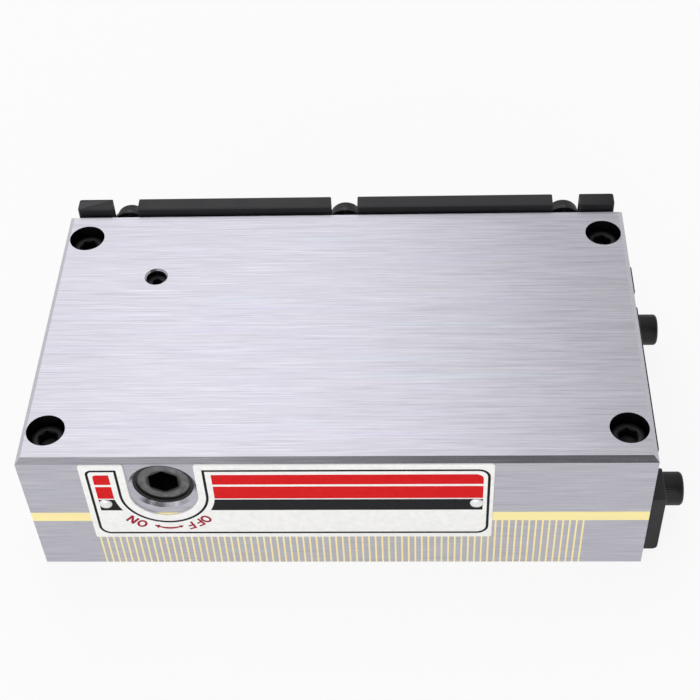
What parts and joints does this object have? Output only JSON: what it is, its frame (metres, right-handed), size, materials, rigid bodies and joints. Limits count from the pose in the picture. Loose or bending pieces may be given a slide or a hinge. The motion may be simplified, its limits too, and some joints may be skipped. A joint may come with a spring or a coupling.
{
  "type": "magnetic chuck",
  "caption": "Permanent magnetic chuck: a ground block with a laminated pole plate, switched by a hex key in an eccentric shaft, with a back rail and an end stop.",
  "frame": {"origin": "centre of the work face, which the chuck lies on", "axes": "+X along the block towards the end stop, +Y towards the back rail, +Z from the work face to the base face"},
  "size_m": [0.1878, 0.1121, 0.05],
  "materials": {
    "ground_steel": "surface ground, fine lines along X",
    "brass": "ground",
    "black_oxide_steel": "black oxide, satin",
    "zinc_steel": "zinc plated",
    "magnet": "nickel plated",
    "nameplate_aluminium": "screen printed"
  },
  "bodies": {
    "block": {"housing": "ground_steel", "separator_band": "brass", "pole_end_blocks": "ground_steel", "pole_laminations": "ground_steel", "pole_separators": "brass", "clamp_screws": "black_oxide_steel", "retaining_screw": "black_oxide_steel", "core_guides": "brass", "nameplate": "nameplate_aluminium", "nameplate_rivets": "zinc_steel", "rear_rail_screws": "black_oxide_steel", "rear_rail_washers": "zinc_steel", "end_stop_screws": "black_oxide_steel", "end_stop_washers": "zinc_steel"},
    "shaft": {"actuating_shaft": "black_oxide_steel"},
    "core": {"core_frame": "brass", "core_pole_bars": "ground_steel", "core_magnets": "magnet", "drive_yoke": "brass", "yoke_screws": "black_oxide_steel"},
    "back_rail": {"rear_rail": "black_oxide_steel"},
    "stop_bar": {"end_stop": "black_oxide_steel"}
  },
  "joints": [
    {"name": "shaft_turn", "type": "hinge", "parent": "block", "child": "shaft", "pos_m": [-0.048, 0, 0.0365], "axis": [0, 1, 0], "range_deg": [0, 180]},
    {"name": "core_shift", "type": "slide", "parent": "block", "child": "core", "axis": [-1, 0, 0], "range_m": [0, 0.0057]},
    {"name": "rail_slide", "type": "slide", "parent": "block", "child": "back_rail", "axis": [0, 0, -1], "range_m": [0, 0.008]},
    {"name": "stop_slide", "type": "slide", "parent": "block", "child": "stop_bar", "axis": [0, 0, -1], "range_m": [0, 0.008]}
  ],
  "couplings": [
    {"joint": "shaft_turn", "follows": "core_shift", "rad_per_m": 551.15}
  ]
}
